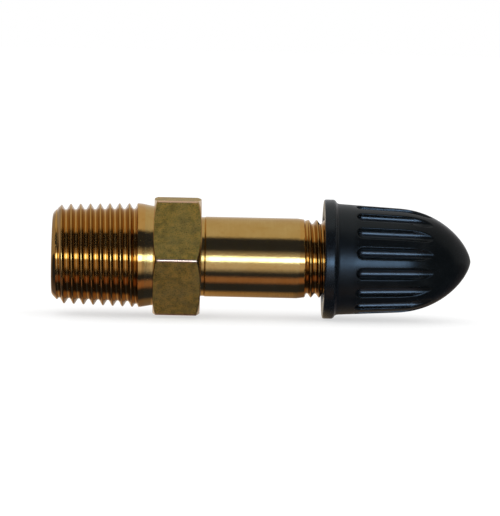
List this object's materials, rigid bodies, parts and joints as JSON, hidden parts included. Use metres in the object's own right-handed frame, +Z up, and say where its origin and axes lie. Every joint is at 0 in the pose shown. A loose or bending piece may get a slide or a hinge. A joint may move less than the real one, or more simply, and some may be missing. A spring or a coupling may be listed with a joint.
{
  "type": "automatic air vent",
  "caption": "Brass stem with a taper pipe thread, hexagon and plain barrel, a spring valve core inside, and a fluted plastic screw cap.",
  "frame": {"origin": "on the axis, at the inlet end face of the pipe thread", "axes": "+X along the axis from the inlet to the tip of the cap, +Z up, two flats of the hexagon facing +Z and -Z"},
  "size_m": [0.0405, 0.0128, 0.0116],
  "materials": {
    "brass": "turned, bright",
    "black_plastic": "moulded, satin",
    "rubber": "matt",
    "red_seal": "matt",
    "steel": "drawn wire"
  },
  "bodies": {
    "stem": {"valve_body": "brass"},
    "cap_seal": {"cap_gasket": "rubber"},
    "cap": {"dust_cap": "black_plastic"},
    "core": {"core_barrel": "brass", "barrel_gasket": "red_seal", "core_spring": "steel", "spring_seat": "brass"},
    "core_nut": {"core_plug": "brass"},
    "poppet": {"valve_pin": "steel", "poppet_cup": "brass", "cup_washer": "rubber"}
  },
  "joints": [
    {"name": "cap_lift", "type": "slide", "parent": "stem", "child": "cap_seal", "axis": [1, 0, 0], "range_m": [0, 0.00476]},
    {"name": "cap_turn", "type": "hinge", "parent": "cap_seal", "child": "cap", "pos_m": [0.03, 0, 0], "axis": [1, 0, 0], "range_deg": [0, 2160]},
    {"name": "core_lift", "type": "slide", "parent": "stem", "child": "core", "axis": [1, 0, 0], "range_m": [0, 0.00459]},
    {"name": "core_turn", "type": "hinge", "parent": "core", "child": "core_nut", "pos_m": [0.028, 0, 0], "axis": [1, 0, 0], "range_deg": [0, 2340]},
    {"name": "pin_press", "type": "slide", "parent": "core", "child": "poppet", "axis": [-1, 0, 0], "range_m": [0, 0.0011], "stiffness_N_per_m": 900, "deforming": ["core_spring"]}
  ],
  "couplings": [
    {"joint": "cap_turn", "follows": "cap_lift", "rad_per_m": 7915.8},
    {"joint": "core_turn", "follows": "core_lift", "rad_per_m": 8905.3}
  ]
}
